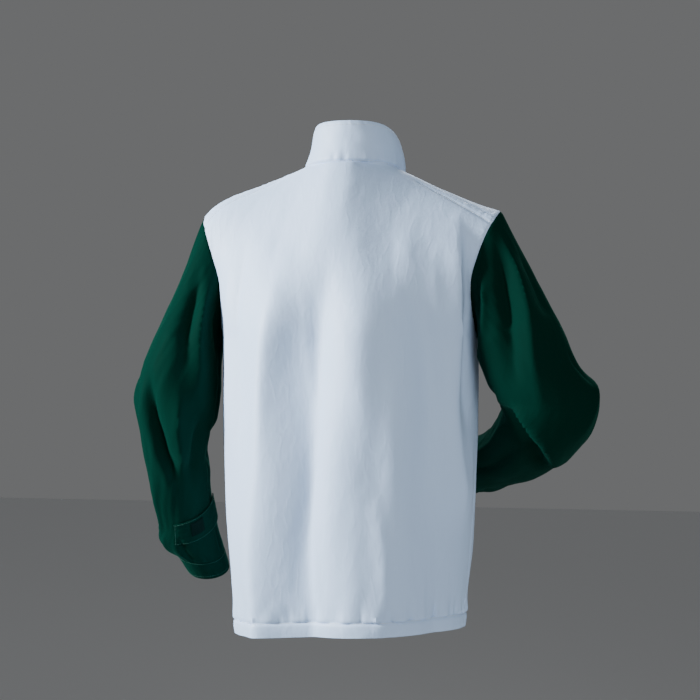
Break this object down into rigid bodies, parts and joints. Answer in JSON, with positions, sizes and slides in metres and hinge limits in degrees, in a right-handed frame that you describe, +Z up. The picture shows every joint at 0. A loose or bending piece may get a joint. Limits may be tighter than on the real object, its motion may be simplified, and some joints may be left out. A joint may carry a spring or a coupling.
{
  "type": "windbreaker",
  "caption": "Worn zip-front windbreaker in thin woven cloth, with a stand collar, a white body, green sleeves with narrow tabbed cuffs and a turned hem.",
  "frame": {"origin": "centre of the neck seam at its height at the back, where the wearer's neck carries the jacket", "axes": "+Z up along the wearer's neck; the wearer faces -Y; +X is the wearer's left"},
  "size_m": [0.6939, 0.3554, 0.7478],
  "materials": {
    "back_panel": "smooth woven nylon",
    "front_left": "smooth woven nylon",
    "front_right": "smooth woven nylon",
    "collar": "smooth woven nylon",
    "sleeve_left": "smooth woven nylon",
    "sleeve_right": "smooth woven nylon",
    "cuff_left": "smooth woven nylon",
    "cuff_right": "smooth woven nylon",
    "cuff_tab_left": "smooth woven nylon",
    "cuff_tab_right": "smooth woven nylon",
    "zip_tape_left": "woven polyester",
    "zip_tape_right": "woven polyester",
    "zip_slider": "satin",
    "zip_pull": "satin",
    "zip_box": "satin"
  },
  "bodies": {
    "garment": {"back_panel": "back_panel", "front_left": "front_left", "front_right": "front_right", "collar": "collar", "sleeve_left": "sleeve_left", "sleeve_right": "sleeve_right", "cuff_left": "cuff_left", "cuff_right": "cuff_right", "cuff_tab_left": "cuff_tab_left", "cuff_tab_right": "cuff_tab_right", "zip_tape_left": "zip_tape_left", "zip_tape_right": "zip_tape_right", "zip_slider": "zip_slider", "zip_box": "zip_box"},
    "zip_pull": {"zip_pull": "zip_pull"}
  },
  "joints": [
    {"name": "zip_pull_swing", "type": "hinge", "parent": "garment", "child": "zip_pull", "pos_m": [0, -0.10049, -0.14329], "axis": [-1, 0, 0], "range_deg": [0, 150]}
  ]
}
